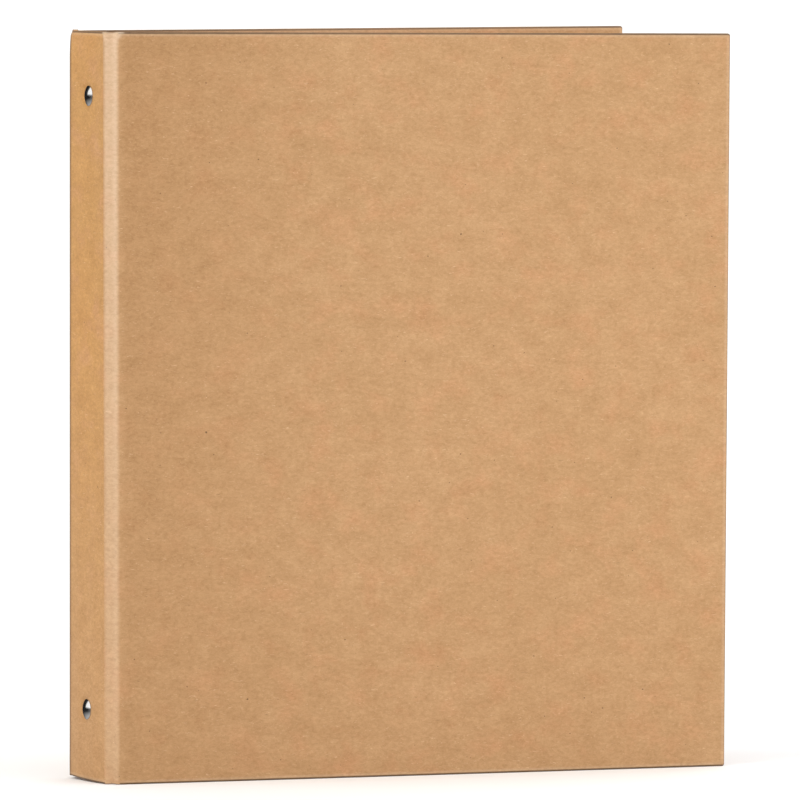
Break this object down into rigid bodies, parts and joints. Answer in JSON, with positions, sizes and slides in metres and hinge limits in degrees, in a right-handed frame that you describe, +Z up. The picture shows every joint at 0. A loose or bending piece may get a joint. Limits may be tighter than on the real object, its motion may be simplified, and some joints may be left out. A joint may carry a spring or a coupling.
{
  "type": "scrapbook album",
  "caption": "Standing kraft paper-over-board scrapbook album with creased hinges, a riveted ring mechanism and covers spread in a slight V.",
  "frame": {"origin": "middle of the spine's foot, at half the spine panel's thickness, on the surface the album stands on", "axes": "+Z up along the spine, +X from the spine towards the covers' free edges, -Y towards the front cover"},
  "size_m": [0.2689, 0.0912, 0.295],
  "materials": {
    "kraft_cover": "matt uncoated kraft paper",
    "kraft_lining": "matt uncoated kraft paper",
    "greyboard": "raw grey pulp board",
    "nickel": "bright nickel plate"
  },
  "bodies": {
    "spine": {"spine_board": "greyboard", "spine_wrap": "kraft_cover", "spine_lining": "kraft_lining", "ring_shield": "nickel", "rivet_upper": "nickel", "rivet_lower": "nickel"},
    "front_strip": {"front_hinge_strip": "kraft_cover", "front_hinge_lining": "kraft_lining"},
    "front_cover": {"front_board": "greyboard", "front_wrap": "kraft_cover", "front_lining": "kraft_lining"},
    "front_jaw": {"front_plate": "nickel", "front_ring_lower": "nickel", "front_ring_middle": "nickel", "front_ring_upper": "nickel"},
    "back_strip": {"back_hinge_strip": "kraft_cover", "back_hinge_lining": "kraft_lining"},
    "back_cover": {"back_board": "greyboard", "back_wrap": "kraft_cover", "back_lining": "kraft_lining"},
    "back_jaw": {"back_plate": "nickel", "back_ring_lower": "nickel", "back_ring_middle": "nickel", "back_ring_upper": "nickel"},
    "upper_trigger": {"upper_trigger": "nickel"},
    "lower_trigger": {"lower_trigger": "nickel"}
  },
  "joints": [
    {"name": "front_crease", "type": "hinge", "parent": "spine", "child": "front_strip", "pos_m": [-0.00135, -0.0175, 0], "axis": [0, 0, -1], "range_deg": [-1, 44]},
    {"name": "front_cover_fold", "type": "hinge", "parent": "front_strip", "child": "front_cover", "pos_m": [0.00254, -0.02153, 0], "axis": [0, 0, -1], "range_deg": [-1, 44]},
    {"name": "back_crease", "type": "hinge", "parent": "spine", "child": "back_strip", "pos_m": [-0.00135, 0.0175, 0], "axis": [0, 0, 1], "range_deg": [-4.2, 40.8]},
    {"name": "back_cover_fold", "type": "hinge", "parent": "back_strip", "child": "back_cover", "pos_m": [0.00231, 0.02174, 0], "axis": [0, 0, 1], "range_deg": [-4.2, 40.8]},
    {"name": "front_jaw_turn", "type": "hinge", "parent": "spine", "child": "front_jaw", "pos_m": [0.00405, -0.0079, 0.149], "axis": [0, 0, -1], "range_deg": [0, 11]},
    {"name": "back_jaw_turn", "type": "hinge", "parent": "spine", "child": "back_jaw", "pos_m": [0.00405, 0.0079, 0.149], "axis": [0, 0, 1], "range_deg": [0, 11]},
    {"name": "upper_trigger_press", "type": "hinge", "parent": "spine", "child": "upper_trigger", "pos_m": [0.00325, 0, 0.2765], "axis": [0, -1, 0], "range_deg": [0, 22]},
    {"name": "lower_trigger_press", "type": "hinge", "parent": "spine", "child": "lower_trigger", "pos_m": [0.00325, 0, 0.0215], "axis": [0, 1, 0], "range_deg": [0, 22]}
  ],
  "couplings": [
    {"joint": "front_cover_fold", "follows": "front_crease", "ratio": 1},
    {"joint": "back_cover_fold", "follows": "back_crease", "ratio": 1},
    {"joint": "back_jaw_turn", "follows": "front_jaw_turn", "ratio": 1},
    {"joint": "upper_trigger_press", "follows": "front_jaw_turn", "ratio": 2},
    {"joint": "lower_trigger_press", "follows": "front_jaw_turn", "ratio": 2}
  ]
}
